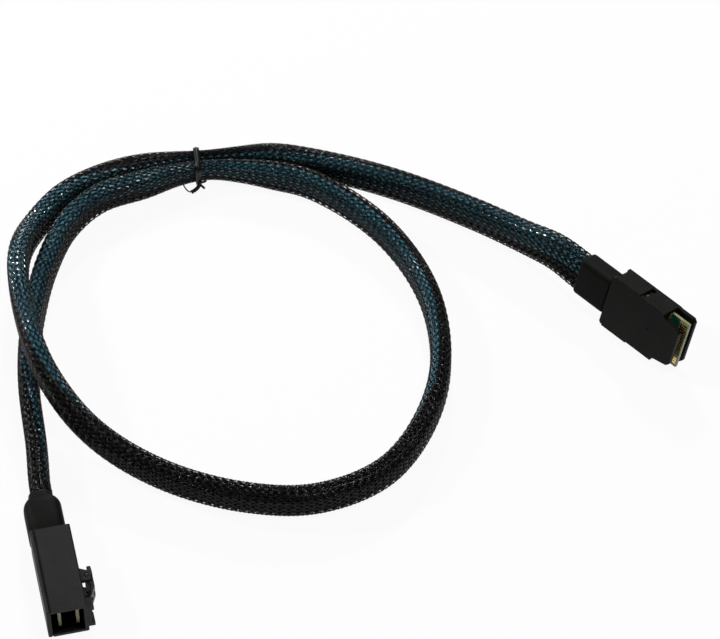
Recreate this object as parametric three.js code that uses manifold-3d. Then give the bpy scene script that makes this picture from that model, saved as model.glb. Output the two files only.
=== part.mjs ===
// Internal SAS cable: a braided, oval cable with a small plug that holds two stacked cards on one
// end and a wide plug that holds one card on the other, laid in a loop and held by a twist tie.
// Millimetres, +Z up. The origin is the middle of the stacked-card plug's underside, on the table.
// That plug lies on its side: it mates towards -Y and its latch faces +X.
import * as THREE from 'three';
import Module from 'manifold-3d';
import { mergeVertices } from 'three/addons/utils/BufferGeometryUtils.js';

const wasm = await Module();
wasm.setup();

// Clearances
const fitGap = 0.3;
const pivotClearance = 0.25;

// How far a cut reaches past what it cuts, and how deep a joined piece sits in its neighbour
const cutReach = 1;
const joinDepth = 0.2;

// Cable route, from the stacked-card plug to the wide plug, chosen by hand from the photograph
const routePoints = [
  [0, 27.5, 6.3], [0.1, 34, 5.9], [1.5, 48, 5.2], [2.9, 69.7, 5.2], [5.4, 84.4, 5.2],
  [9.5, 98.9, 5.2], [15.9, 115, 5.2], [24.9, 129.4, 5.2], [36.4, 138, 5.2],
  [52.1, 140.8, 5.1], [61.7, 142.3, 5], [71.3, 142.2, 5], [80.7, 139.5, 5.1], [89.8, 135.8, 5.2],
  [102, 128.6, 5.2], [119.5, 105.5, 5.2], [127.2, 75, 5.2], [121, 42.8, 5.2], [101.3, 18.4, 5.2],
  [78.8, 12.3, 5.2], [57, 17.5, 5.3], [34.5, 31.2, 5.7], [18, 48.4, 8.4], [8.6, 66.6, 14.4],
  [5.6, 90, 16.3], [7.5, 112.7, 13.7], [15, 130, 6.9], [25.7, 140.8, 5.3], [38, 145.6, 5.2],
  [51.5, 147.3, 5.1], [61.7, 147.2, 5], [71.9, 146.2, 5], [82.1, 144.8, 5.1], [92.4, 142.4, 5.2],
  [110, 133.9, 5.4], [127.8, 122.2, 5.9], [147.5, 105.5, 6.6], [161.1, 91, 8.2],
  [168.1, 82.8, 9.45], [173.8, 73.6, 9.65],
];
const routeSteps = 80;

// Cable section, an oval that stands on edge
const cableThickness = 6.4;
const cableHeight = 10.2;
const cableCorner = 2.4;
const sleeveWall = 0.5;
const swellStart = 0.82;
const swellHeight = 1.24;
const swellThickness = 0.97;
const plugLean = THREE.MathUtils.degToRad(18);
const leanStart = 0.93;

// Where the tie squeezes the two runs together
const squeezeCentre = new THREE.Vector3(71.6, 144.2, 5);
const squeezeReach = 26;
const squeezeThickness = 0.56;
const squeezeHeight = 0.76;

// Ribbons and side wires inside the sleeve
const ribbonWidth = 3.4;
const ribbonThickness = 1.6;
const ribbonGap = 0.3;
const sideWireRadius = 0.42;
const sideWireGap = 0.15;

// Twist tie
const tiePlace = new THREE.Vector3(67.6, 144.5, 0);
const tieTurn = THREE.MathUtils.degToRad(-6);
const tieBandWidth = 1.8;
const tieBandThickness = 0.6;
const tieInnerWidth = 9.4;
const tieInnerHeight = 8.4;
const tieCorner = 2.2;
const tieFloorGap = 0.1;
const tieTailRadius = 0.7;
const tieTailLength = 3.4;
// Along the cable, share of the tail's length away from it, and height
const tieTailBends = [[0, 0, 0], [-0.3, 0.4, -0.3], [-1.2, 0.75, -0.5], [-2.8, 1, -0.6]];

// Stacked-card plug
const hdLength = 28.9;
const hdStack = 11.8;
const hdWidth = 12.6;
const hdWall = 1.1;
const hdCover = 1.3;
const hdEdge = 0.4;
const hdMouthDepth = 12.5;
const hdDividerWall = 1.4;
const hdCardThickness = 0.9;
const hdCardWidth = 8.2;
const hdCardPitch = 5.2;
const hdCardFromCover = 3.8;
const hdCardSetBack = 1.9;
const hdCardLength = 20.8;
const hdBootLength = 12.7;
const hdBootWidth = 10.6;
const hdBootHeight = 10.8;
const hdBootBulge = 8.4;
const hdBootCorner = 3;
const hdBootRound = 3.4;
const hdFlangeShift = -0.5;
const hdFlange = 2.2;

// Latch of the stacked-card plug and what carries it
const hdPivotFromFront = 11.1;
const hdPivotHeight = 1.6;
const hdBarRadius = 0.5;
const hdLeverThickness = 1.1;
const hdLeverTipReach = 4;
const hdLeverTipHeight = 3.3;
const hdLeverCrest = 3.5;
const hdLeverNoseReach = 6.3;
const hdLeverNoseHeight = 1.5;
const hdLeverNoseFloor = 0.4;
const hdNoseLength = 0.9;
const hdNoseSlopeRun = 1.3;
const hdNoseSlopeRise = 0.8;
const hdNoseHollowRun = 1.7;
const hdNoseHollowDrop = 0.3;
const hdCrestAhead = 2.4;
const hdCrestBehind = 0.6;
const hdProngLength = 1.9;
const hdWindowFromNose = 2.6;
const hdWindowFromPivot = 1.5;
const hdPadHalf = 3.5;
const hdBodyHalf = 2.6;
const hdProngGap = 1.6;
const hdBracketInner = 3.9;
const hdBracketThickness = 1.4;
const hdBracketHeight = 2.8;
const hdBracketHalf = 1.7;
const hdBracketFlank = 1.1;
const hdToothWidth = 1.5;
const hdToothLength = 3.5;
const hdToothHeight = 1.9;
const hdMiddleToothHeight = 1.5;
const hdToothPitch = 3.9;
const hdRailLength = 1.3;
const hdRailHeight = 1;

// Wide plug, in its own frame: X towards the mating end, Z away from its plain plate
const miniNearPlate = 1.5;
const miniNearLength = 27.5;
const miniRearHalf = 8.9;
const miniNoseHalf = 6.7;
const miniNoseCut = 1;
const miniRearCut = 0.6;
const miniStepAt = 20.8;
const miniStepHalf = 7.7;
const miniSideWall = 1.1;
const miniSideHeight = 6.6;
const miniRearBlockEnd = 10.8;
const miniBlockGap = 1.5;
const miniBlockProud = 0.4;
const miniFarPlate = 1.4;
const miniFarLength = 27.6;
const miniFarHalf = 8.3;
const miniFarInset = 0.4;
const miniFarStepRun = 0.6;
const miniCardFloor = 3.7;
const miniCardThickness = 1;
const miniCardFrom = 6;
const miniCardLength = 21.9;
const miniCardNoseHalf = 8.15;
const miniBlockLength = 12.4;
const miniBlockStart = 0.6;
const miniBootLength = 12.3;
const miniBootHalf = 6.6;
const miniBootHeight = 7.2;
const miniBootMiddle = 3.9;
const miniPadFrom = 21.4;
const miniPadLength = 5;
const miniPadHalf = 6.2;
const miniPadHeight = 0.35;

// Metal latch of the wide plug and the frame around it
const frameFrom = 7.4;
const frameTo = 19.6;
const frameHalf = 6;
const frameBar = 1.6;
const frameHeight = 1.8;
const frameCorner = 2.6;
const cornerShare = 0.3;
const leafThickness = 0.45;
const leafTabFrom = 2.2;
const leafTabTo = 7;
const leafTabHalf = 4.7;
const leafTabRise = 2.6;
const leafBendRise = 1.5;
const leafBendRun = 1;
const leafTabLipRun = 1.2;
const leafTabLipDrop = 0.3;
const leafFootLength = 1.6;
const leafProngGap = 2.2;

const plastic = (colour, roughness) => new THREE.MeshStandardMaterial({ color: colour, roughness });
const materials = {
  housing: plastic(0x2c2c2c, 0.55),
  shell: plastic(0x1d1d1b, 0.5),
  boot: plastic(0x181817, 0.6),
  block: plastic(0x3a3936, 0.7),
  card: new THREE.MeshStandardMaterial({ color: 0x8f8a4e, roughness: 0.5 }),
  steel: new THREE.MeshStandardMaterial({ color: 0xc9c3b8, roughness: 0.3, metalness: 1 }),
  sleeve: plastic(0x141516, 0.5),
  ribbon: plastic(0x12506b, 0.4),
  wire: plastic(0x1c2a30, 0.5),
  tie: plastic(0x161616, 0.45),
};

// Turns a closed geometry into a solid that can be joined and cut.
function solid(geometry) {
  const bare = geometry.clone();
  bare.deleteAttribute('normal');
  bare.deleteAttribute('uv');
  const merged = mergeVertices(bare, 1e-4);
  return new wasm.Manifold(new wasm.Mesh({
    numProp: 3,
    vertProperties: merged.attributes.position.array,
    triVerts: merged.index.array,
  }));
}

// Turns a solid back into a geometry.
function geometryOf(body) {
  const mesh = body.getMesh();
  const geometry = new THREE.BufferGeometry();
  geometry.setAttribute('position', new THREE.BufferAttribute(mesh.vertProperties, 3));
  geometry.setIndex(new THREE.BufferAttribute(mesh.triVerts, 1));
  geometry.computeVertexNormals();
  return geometry;
}

function part(name, geometry, material) {
  const mesh = new THREE.Mesh(geometry, material);
  mesh.name = name;
  return mesh;
}

function box([x0, x1], [y0, y1], [z0, z1]) {
  const geometry = new THREE.BoxGeometry(x1 - x0, y1 - y0, z1 - z0);
  return geometry.translate((x0 + x1) / 2, (y0 + y1) / 2, (z0 + z1) / 2);
}

function shapeOf(points) {
  return new THREE.Shape(points.map(([u, v]) => new THREE.Vector2(u, v)));
}

// Extrudes an outline between two levels of an axis. The outline's two coordinates are the next
// two axes in turn: X and Y for a prism along Z, Y and Z along X, Z and X along Y.
function prism(points, [from, to], axis = 'z') {
  const geometry = new THREE.ExtrudeGeometry(shapeOf(points), { depth: to - from, bevelEnabled: false });
  geometry.translate(0, 0, from);
  const x = new THREE.Vector3(1, 0, 0);
  const y = new THREE.Vector3(0, 1, 0);
  const z = new THREE.Vector3(0, 0, 1);
  const turned = new THREE.Matrix4();
  if (axis === 'x') turned.makeBasis(y, z, x);
  if (axis === 'y') turned.makeBasis(z, x, y);
  return geometry.applyMatrix4(turned);
}

// A rectangle with its corners cut off.
function bevelled([u0, u1], [v0, v1], cut) {
  return [
    [u0 + cut, v0], [u1 - cut, v0], [u1, v0 + cut], [u1, v1 - cut],
    [u1 - cut, v1], [u0 + cut, v1], [u0, v1 - cut], [u0, v0 + cut],
  ];
}

// A rectangle about the origin with round corners, three points to each corner.
function roundedRectangle(width, height, radius) {
  const points = [];
  for (let quarter = 0; quarter < 4; quarter += 1) {
    const cornerX = (quarter === 0 || quarter === 3 ? 1 : -1) * (width / 2 - radius);
    const cornerY = (quarter < 2 ? 1 : -1) * (height / 2 - radius);
    for (let step = 0; step < 3; step += 1) {
      const angle = (quarter + step / 2) * Math.PI / 2;
      points.push([cornerX + radius * Math.cos(angle), cornerY + radius * Math.sin(angle)]);
    }
  }
  return points;
}

function circle([u, v], radius, sides = 12) {
  const points = [];
  for (let side = 0; side < sides; side += 1) {
    const angle = side / sides * Math.PI * 2;
    points.push([u + radius * Math.cos(angle), v + radius * Math.sin(angle)]);
  }
  return points;
}

const symmetric = (half) => [-half, half];

// Cable: sections are extruded straight and then laid along the route.

const route = new THREE.CatmullRomCurve3(
  routePoints.map(([x, y, z]) => new THREE.Vector3(x, y, z)), false, 'centripetal');

function ease(share) {
  const inside = THREE.MathUtils.clamp(share, 0, 1);
  return 0.5 - 0.5 * Math.cos(Math.PI * inside);
}

// The route's point, and the directions to the left of it and up, leaning with the wide plug.
function routeFrame(share) {
  const point = route.getPoint(share);
  const tangent = route.getTangent(share);
  const left = new THREE.Vector3(0, 0, 1).cross(tangent).normalize();
  const lean = plugLean * ease((share - leanStart) / (1 - leanStart));
  left.applyAxisAngle(tangent, -lean);
  const up = tangent.clone().cross(left);
  return { point, tangent, left, up };
}

// How much thinner and lower, or taller, the cable is at a point of its route.
function sectionScale(share, point) {
  const squeeze = ease(1 - point.distanceTo(squeezeCentre) / squeezeReach);
  const swell = ease((share - swellStart) / (1 - swellStart));
  return {
    thickness: (1 - (1 - squeezeThickness) * squeeze) * (1 + (swellThickness - 1) * swell),
    height: (1 - (1 - squeezeHeight) * squeeze) * (1 + (swellHeight - 1) * swell),
  };
}

function layAlongRoute(shape) {
  const geometry = new THREE.ExtrudeGeometry(shape, { depth: 1, steps: routeSteps, bevelEnabled: false });
  const position = geometry.attributes.position;
  for (let index = 0; index < position.count; index += 1) {
    const share = Math.round(position.getZ(index) * routeSteps) / routeSteps;
    const { point, left, up } = routeFrame(share);
    const scale = sectionScale(share, point);
    point.addScaledVector(left, position.getX(index) * scale.thickness);
    point.addScaledVector(up, position.getY(index) * scale.height);
    position.setXYZ(index, point.x, point.y, point.z);
  }
  geometry.computeVertexNormals();
  return geometry;
}

function braidedSleeve() {
  const shape = shapeOf(roundedRectangle(cableThickness, cableHeight, cableCorner));
  const inside = roundedRectangle(
    cableThickness - 2 * sleeveWall, cableHeight - 2 * sleeveWall, cableCorner - sleeveWall);
  shape.holes.push(new THREE.Path(inside.map(([u, v]) => new THREE.Vector2(u, v))));
  return part('braided_sleeve', layAlongRoute(shape), materials.sleeve);
}

// Two stacks of two ribbons, above and below the side wires.
function ribbons() {
  const meshes = [];
  const across = (ribbonGap + ribbonThickness) / 2;
  const along = sideWireRadius + sideWireGap + ribbonWidth / 2;
  const places = [[-across, along], [across, along], [-across, -along], [across, -along]];
  places.forEach(([u, v], index) => {
    const outline = [
      [u - ribbonThickness / 2, v - ribbonWidth / 2], [u + ribbonThickness / 2, v - ribbonWidth / 2],
      [u + ribbonThickness / 2, v + ribbonWidth / 2], [u - ribbonThickness / 2, v + ribbonWidth / 2],
    ];
    meshes.push(part(`ribbon_${index + 1}`, layAlongRoute(shapeOf(outline)), materials.ribbon));
  });
  return meshes;
}

function sideWires() {
  const shape = shapeOf(circle([0, 0], sideWireRadius, 6));
  return part('sideband_wires', layAlongRoute(shape), materials.wire);
}

// Twist tie: a flat band around both runs, its ends twisted into a short tail on the near side.
function twistTie() {
  const outer = roundedRectangle(
    tieInnerWidth + 2 * tieBandThickness, tieInnerHeight + 2 * tieBandThickness,
    tieCorner + tieBandThickness);
  const inner = roundedRectangle(tieInnerWidth, tieInnerHeight, tieCorner);
  const swap = ([u, v]) => [v, u];
  const span = symmetric(tieBandWidth / 2);
  const wider = symmetric(tieBandWidth / 2 + cutReach);
  const band = solid(prism(outer.map(swap).reverse(), span, 'x').rotateX(Math.PI / 2))
    .subtract(solid(prism(inner.map(swap).reverse(), wider, 'x').rotateX(Math.PI / 2)));
  const nearSide = -(tieInnerWidth + tieBandThickness) / 2;
  const low = -tieInnerHeight / 2 + tieCorner;
  const tailLine = new THREE.CatmullRomCurve3(tieTailBends.map(
    ([x, away, z]) => new THREE.Vector3(x, nearSide - away * tieTailLength, low + z)));
  const tail = new THREE.ExtrudeGeometry(
    shapeOf(circle([0, 0], tieTailRadius, 8)), { steps: 8, extrudePath: tailLine, bevelEnabled: false });
  const mesh = part('twist_tie', geometryOf(band.add(solid(tail))), materials.tie);
  mesh.position.copy(tiePlace);
  mesh.position.z = tieFloorGap + tieBandThickness + tieInnerHeight / 2;
  mesh.rotation.z = tieTurn;
  return mesh;
}

// Stacked-card plug. Its rear end meets the boot, which meets the start of the route.

const hdRear = routePoints[0][1] - hdBootLength - 2 * fitGap;
const hdFront = hdRear - hdLength;
const hdLatchFace = hdStack / 2;
const hdMiddle = hdWidth / 2;
const hdCavityX = [-hdStack / 2 + hdCover, hdLatchFace - hdWall];
const hdCavityZ = [hdWall, hdWidth - hdWall];
const hdDividerAt = hdFront + hdMouthDepth;
const hdCards = [0, 1].map((index) => -hdStack / 2 + hdCardFromCover + index * hdCardPitch);
const hdCardY = [hdFront + hdCardSetBack, hdFront + hdCardSetBack + hdCardLength];
const hdPivotY = hdFront + hdPivotFromFront;
const hdPivotX = hdLatchFace + hdPivotHeight;

function hdCardBox(centre, spare) {
  const halfThickness = hdCardThickness / 2 + spare;
  const halfWidth = hdCardWidth / 2 + spare;
  return box(
    [centre - halfThickness, centre + halfThickness],
    [hdCardY[0] - spare, hdCardY[1] + spare],
    [hdMiddle - halfWidth, hdMiddle + halfWidth]);
}

// One of the two ears that hold the latch's pivot bar.
function hdBracket(side) {
  const near = hdMiddle + side * hdBracketInner;
  const far = near + side * hdBracketThickness;
  const root = hdLatchFace - hdEdge;
  const outline = [
    [root, hdPivotY - hdBracketHalf], [hdLatchFace + hdBracketHeight, hdPivotY - hdBracketHalf],
    [hdLatchFace + hdBracketHeight, hdPivotY + hdBracketHalf - hdBracketFlank / 2],
    [root, hdPivotY + hdBracketHalf + hdBracketFlank],
  ];
  const span = [Math.min(near, far), Math.max(near, far)];
  const hole = prism(
    circle([hdPivotX, hdPivotY], hdBarRadius + pivotClearance),
    [span[0] - cutReach, span[1] + cutReach]);
  return solid(prism(outline, span)).subtract(solid(hole));
}

// The row of teeth that guards the front of the latch.
function hdTeeth() {
  const root = hdLatchFace - hdEdge;
  const front = hdFront + fitGap;
  let teeth = solid(box(
    [root, hdLatchFace + hdRailHeight], [front, front + hdRailLength],
    [hdMiddle - hdToothPitch, hdMiddle + hdToothPitch]));
  for (const side of [-1, 0, 1]) {
    const height = side === 0 ? hdMiddleToothHeight : hdToothHeight;
    const middle = hdMiddle + side * hdToothPitch;
    teeth = teeth.add(solid(box(
      [root, hdLatchFace + height], [front, front + hdToothLength],
      [middle - hdToothWidth / 2, middle + hdToothWidth / 2])));
  }
  return teeth;
}

function hdBaseShell() {
  const outline = bevelled([0, hdWidth], [hdCavityX[0], hdLatchFace], hdEdge);
  const across = [hdCavityX[0] - cutReach, hdCavityX[1]];
  const mouth = box(across, [hdFront - cutReach, hdDividerAt], hdCavityZ);
  const rear = box(across, [hdDividerAt + hdDividerWall, hdRear + cutReach], hdCavityZ);
  let shell = solid(prism(outline, [hdFront, hdRear], 'y'))
    .subtract(solid(mouth))
    .subtract(solid(rear));
  for (const centre of hdCards) shell = shell.subtract(solid(hdCardBox(centre, fitGap)));
  shell = shell.add(hdBracket(-1)).add(hdBracket(1)).add(hdTeeth());
  return part('hd_base_shell', geometryOf(shell), materials.housing);
}

function hdCoverPlate() {
  const outline = bevelled([0, hdWidth], [-hdStack / 2, -hdStack / 2 + hdCover], hdEdge);
  return part('hd_cover_plate', prism(outline, [hdFront, hdRear], 'y'), materials.housing);
}

function hdWireBlock() {
  const outline = bevelled(
    [hdCavityZ[0] + fitGap, hdCavityZ[1] - fitGap],
    [hdCavityX[0] + fitGap, hdCavityX[1] - fitGap], hdEdge);
  let block = solid(prism(outline, [hdDividerAt + hdDividerWall + fitGap, hdRear], 'y'));
  for (const centre of hdCards) block = block.subtract(solid(hdCardBox(centre, fitGap)));
  return part('hd_wire_block', geometryOf(block), materials.block);
}

// The lever's side view, with its nose turned down towards the housing.
function hdLeverOutline() {
  const top = hdLatchFace;
  const tip = hdPivotY + hdLeverTipReach;
  const nose = hdPivotY - hdLeverNoseReach;
  const under = hdLeverThickness;
  return [
    [top + hdLeverTipHeight - under, tip], [top + hdLeverTipHeight, tip],
    [top + hdLeverCrest, hdPivotY + hdCrestBehind], [top + hdLeverCrest, hdPivotY - hdCrestAhead],
    [top + hdLeverNoseHeight + hdNoseSlopeRise, nose + hdNoseSlopeRun],
    [top + hdLeverNoseHeight, nose], [top + hdLeverNoseFloor, nose],
    [top + hdLeverNoseFloor, nose + hdNoseLength],
    [top + hdLeverNoseHeight - hdNoseHollowDrop, nose + hdNoseHollowRun],
    [top + hdLeverCrest - under, hdPivotY - hdCrestAhead],
    [top + hdLeverCrest - under, hdPivotY + hdCrestBehind],
  ].reverse();
}

function hdLatch() {
  const lever = solid(prism(hdLeverOutline(), [hdMiddle - hdPadHalf, hdMiddle + hdPadHalf]));
  const padFrom = hdPivotY + hdBracketHalf / 2;
  const nose = hdPivotY - hdLeverNoseReach;
  const tall = [hdLatchFace, hdLatchFace + hdLeverCrest + cutReach];
  let latch = lever;
  for (const side of [-1, 1]) {
    const edges = [hdMiddle + side * hdBodyHalf, hdMiddle + side * (hdPadHalf + cutReach)];
    latch = latch.subtract(solid(box(
      tall, [nose - cutReach, padFrom], [Math.min(...edges), Math.max(...edges)])));
  }
  const between = [hdMiddle - hdProngGap / 2, hdMiddle + hdProngGap / 2];
  const prongNotch = box(tall, [nose - cutReach, nose + hdProngLength], between);
  const window = box(tall, [nose + hdWindowFromNose, hdPivotY - hdWindowFromPivot], between);
  const web = box(
    [hdPivotX - hdBarRadius, hdLatchFace + hdLeverCrest - hdLeverThickness / 2],
    [hdPivotY - hdBarRadius, hdPivotY + hdBarRadius],
    [hdMiddle - hdBodyHalf, hdMiddle + hdBodyHalf]);
  const barHalf = hdBracketInner + hdBracketThickness;
  const bar = prism(circle([hdPivotX, hdPivotY], hdBarRadius), [hdMiddle - barHalf, hdMiddle + barHalf]);
  latch = latch.subtract(solid(prongNotch)).subtract(solid(window)).add(solid(web)).add(solid(bar));
  return part('hd_latch', geometryOf(latch), materials.housing);
}

function hdBoot() {
  const from = hdRear + fitGap;
  const to = from + hdBootLength;
  const halfX = hdBootWidth / 2;
  const section = roundedRectangle(hdBootHeight, hdBootBulge, hdBootRound);
  const bulge = prism(section.map(([z, x]) => [hdMiddle + z, x]), [from, to], 'y');
  const flange = prism([
    [-halfX, from], [halfX, from], [halfX, to - hdBootCorner],
    [halfX - hdBootCorner * cornerShare, to - hdBootCorner * cornerShare],
    [halfX - hdBootCorner, to], [hdBootCorner - halfX, to],
    [hdBootCorner * cornerShare - halfX, to - hdBootCorner * cornerShare],
    [-halfX, to - hdBootCorner],
  ], [hdMiddle - hdFlange / 2, hdMiddle + hdFlange / 2]);
  flange.translate(hdFlangeShift, 0, 0);
  return part('hd_boot', geometryOf(solid(bulge).add(solid(flange))), materials.boot);
}

// Wide plug, built in its own frame and placed at the end of the route.

const miniBlockFrom = miniRearBlockEnd + miniBlockGap;
const miniFarFloor = miniSideHeight + fitGap;
const miniFarTop = miniFarFloor + miniFarPlate;

function mirrored(points) {
  return [...points, ...points.map(([u, v]) => [u, -v]).reverse()];
}

function miniBottomShell() {
  const outline = mirrored([
    [0, -miniRearHalf + miniRearCut], [miniRearCut, -miniRearHalf], [miniStepAt, -miniRearHalf],
    [miniStepAt, -miniStepHalf], [miniNearLength - miniNoseCut, -miniNoseHalf],
    [miniNearLength, -miniNoseHalf + miniNoseCut],
  ]);
  let shell = solid(prism(outline, [0, miniNearPlate]));
  for (const side of [-1, 1]) {
    const inner = side * (miniRearHalf - miniSideWall);
    const rearOuter = side * (miniRearHalf + miniBlockProud);
    const frontOuter = side * miniRearHalf;
    const span = (outer) => [Math.min(inner, outer), Math.max(inner, outer)];
    shell = shell
      .add(solid(box([miniSideWall, miniRearBlockEnd], span(rearOuter), [0, miniSideHeight])))
      .add(solid(box([miniBlockFrom, miniStepAt], span(frontOuter), [0, miniSideHeight])));
  }
  return part('mini_bottom_shell', geometryOf(shell), materials.shell);
}

// The frame around the metal latch: a low wall, open to the rear, with round front corners.
function latchFrame() {
  const outer = mirrored([
    [frameFrom, -frameHalf], [frameTo - frameCorner, -frameHalf],
    [frameTo - frameCorner * cornerShare, -frameHalf + frameCorner * cornerShare],
    [frameTo, -frameHalf + frameCorner],
  ]);
  const innerHalf = frameHalf - frameBar;
  const well = box(
    [frameFrom - cutReach, frameTo - frameBar], symmetric(innerHalf),
    [miniFarTop, miniFarTop + frameHeight + cutReach]);
  return solid(prism(outer, [miniFarTop - joinDepth, miniFarTop + frameHeight])).subtract(solid(well));
}

function miniTopShell() {
  const outline = mirrored([
    [0, -miniRearHalf + miniFarInset], [miniStepAt, -miniRearHalf + miniFarInset],
    [miniStepAt + miniFarStepRun, -miniFarHalf], [miniFarLength - miniNoseCut, -miniFarHalf],
    [miniFarLength, -miniFarHalf + miniNoseCut],
  ]);
  const plate = solid(prism(outline, [miniFarFloor, miniFarTop]));
  const pad = box(
    [miniPadFrom, miniPadFrom + miniPadLength], symmetric(miniPadHalf),
    [miniFarTop - joinDepth, miniFarTop + miniPadHeight]);
  return part('mini_top_shell', geometryOf(plate.add(latchFrame()).add(solid(pad))), materials.shell);
}

function miniCardOutline(spare) {
  const rearHalf = miniRearHalf - miniSideWall - fitGap + spare;
  const from = miniCardFrom - spare;
  const to = miniCardFrom + miniCardLength + spare;
  return mirrored([
    [from, -rearHalf], [miniStepAt + fitGap, -rearHalf],
    [miniStepAt + fitGap, -miniCardNoseHalf - spare], [to, -miniCardNoseHalf - spare],
  ]);
}

function miniCard() {
  const level = [miniCardFloor, miniCardFloor + miniCardThickness];
  return part('mini_card', prism(miniCardOutline(0), level), materials.card);
}

function miniWireBlock() {
  const half = miniRearHalf - miniSideWall - fitGap;
  const block = box(
    [miniBlockStart, miniBlockStart + miniBlockLength], symmetric(half),
    [miniNearPlate + fitGap, miniFarFloor - fitGap]);
  const slot = box(
    [miniCardFrom - fitGap, miniBlockStart + miniBlockLength + cutReach], symmetric(half + cutReach),
    [miniCardFloor - fitGap, miniCardFloor + miniCardThickness + fitGap]);
  return part('mini_wire_block', geometryOf(solid(block).subtract(solid(slot))), materials.block);
}

// The metal latch: a raised tab, a sloping leaf and a foot with two prongs, cut from one strip.
function miniLatch() {
  const footTop = miniFarTop + fitGap + leafThickness;
  const footTo = frameTo - frameBar - fitGap;
  const footFrom = footTo - leafFootLength;
  const strip = [
    [leafTabFrom, footTop + leafTabRise - leafTabLipDrop],
    [leafTabFrom + leafTabLipRun, footTop + leafTabRise], [leafTabTo, footTop + leafTabRise],
    [footFrom - leafBendRun, footTop + leafBendRise],
    [footFrom, footTop], [footTo, footTop],
  ];
  const underside = strip.map(([a, c]) => [a, c - leafThickness]).reverse();
  const outline = [...strip, ...underside].map(([a, c]) => [c, a]);
  let leaf = solid(prism(outline, symmetric(leafTabHalf), 'y'));
  const bodyHalf = frameHalf - frameBar - fitGap;
  const tall = [miniFarTop - cutReach, footTop + leafTabRise + cutReach];
  for (const side of [-1, 1]) {
    const edges = [side * bodyHalf, side * (leafTabHalf + cutReach)];
    leaf = leaf.subtract(solid(box(
      [leafTabTo, footTo + cutReach], [Math.min(...edges), Math.max(...edges)], tall)));
  }
  leaf = leaf.subtract(solid(box(
    [footFrom + fitGap, footTo + cutReach], symmetric(leafProngGap / 2), tall)));
  return part('mini_latch', geometryOf(leaf), materials.steel);
}

function miniBoot() {
  const outline = bevelled(
    symmetric(miniBootHalf),
    [miniBootMiddle - miniBootHeight / 2, miniBootMiddle + miniBootHeight / 2], cableCorner / 2);
  return part('mini_boot', prism(outline, [-fitGap - miniBootLength, -fitGap], 'x'), materials.boot);
}

function miniPlug() {
  const group = new THREE.Group();
  group.add(miniBottomShell(), miniTopShell(), miniCard(), miniWireBlock(), miniLatch(), miniBoot());
  const { point, tangent, left, up } = routeFrame(1);
  const basis = new THREE.Matrix4().makeBasis(tangent, up.clone().negate(), left);
  group.quaternion.setFromRotationMatrix(basis);
  group.position.copy(point)
    .addScaledVector(tangent, miniBootLength + 2 * fitGap)
    .addScaledVector(left, -miniBootMiddle);
  return group;
}

const cable = new THREE.Group();
cable.add(
  hdBaseShell(), hdCoverPlate(), hdWireBlock(), hdLatch(), hdBoot(),
  part('hd_card_inner', hdCardBox(hdCards[0], 0), materials.card),
  part('hd_card_outer', hdCardBox(hdCards[1], 0), materials.card),
  miniPlug(), braidedSleeve(), ...ribbons(), sideWires(), twistTie());

export default cable;
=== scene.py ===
# Internal SAS cable: dresses the frame with an open braid over blue and dark ribbons, moulded plugs
# with contact pads and latches, and a twist tie. Metres, +Z up, origin under the stacked-card plug.
import math

import bmesh
import bpy
import numpy as np
from mathutils import Matrix, Vector


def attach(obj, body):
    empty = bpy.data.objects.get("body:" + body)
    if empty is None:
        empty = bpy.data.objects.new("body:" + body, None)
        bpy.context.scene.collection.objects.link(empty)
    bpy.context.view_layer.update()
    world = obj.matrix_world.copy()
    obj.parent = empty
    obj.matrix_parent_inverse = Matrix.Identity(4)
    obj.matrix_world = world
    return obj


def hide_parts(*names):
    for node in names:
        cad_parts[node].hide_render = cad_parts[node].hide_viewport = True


MM = 0.001

# Camera at the photograph's angle: places in metres, film and lens in millimetres
CAMERA_AT = (-0.04316, -0.58295, 0.86681)
CAMERA_LOOK = (0.1351, 0.6007, -0.7880)
CAMERA_RIGHT = (0.9756, -0.2195, 0.0)
SENSOR = 36.0
LENS = 181.27
CLIP = (0.01, 20)

# Cable route in millimetres, from the stacked-card plug to the wide plug
ROUTE = [
    [0, 27.5, 6.3], [0.1, 34, 5.9], [1.5, 48, 5.2], [2.9, 69.7, 5.2], [5.4, 84.4, 5.2],
    [9.5, 98.9, 5.2], [15.9, 115, 5.2], [24.9, 129.4, 5.2], [36.4, 138, 5.2],
    [52.1, 140.8, 5.1], [61.7, 142.3, 5], [71.3, 142.2, 5], [80.7, 139.5, 5.1], [89.8, 135.8, 5.2],
    [102, 128.6, 5.2], [119.5, 105.5, 5.2], [127.2, 75, 5.2], [121, 42.8, 5.2], [101.3, 18.4, 5.2],
    [78.8, 12.3, 5.2], [57, 17.5, 5.3], [34.5, 31.2, 5.7], [18, 48.4, 8.4], [8.6, 66.6, 14.4],
    [5.6, 90, 16.3], [7.5, 112.7, 13.7], [15, 130, 6.9], [25.7, 140.8, 5.3], [38, 145.6, 5.2],
    [51.5, 147.3, 5.1], [61.7, 147.2, 5], [71.9, 146.2, 5], [82.1, 144.8, 5.1], [92.4, 142.4, 5.2],
    [110, 133.9, 5.4], [127.8, 122.2, 5.9], [147.5, 105.5, 6.6], [161.1, 91, 8.2],
    [168.1, 82.8, 9.45], [173.8, 73.6, 9.65],
]

# Samples on the route, how many of them a step of the cord's path takes, and the spline's power of
# a squared distance and its shortest step
ROUTE_SAMPLES = 3001
CORD_PATH_STEP = 10
SPLINE_POWER = 0.25
SHORTEST_STEP = 1e-4

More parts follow.
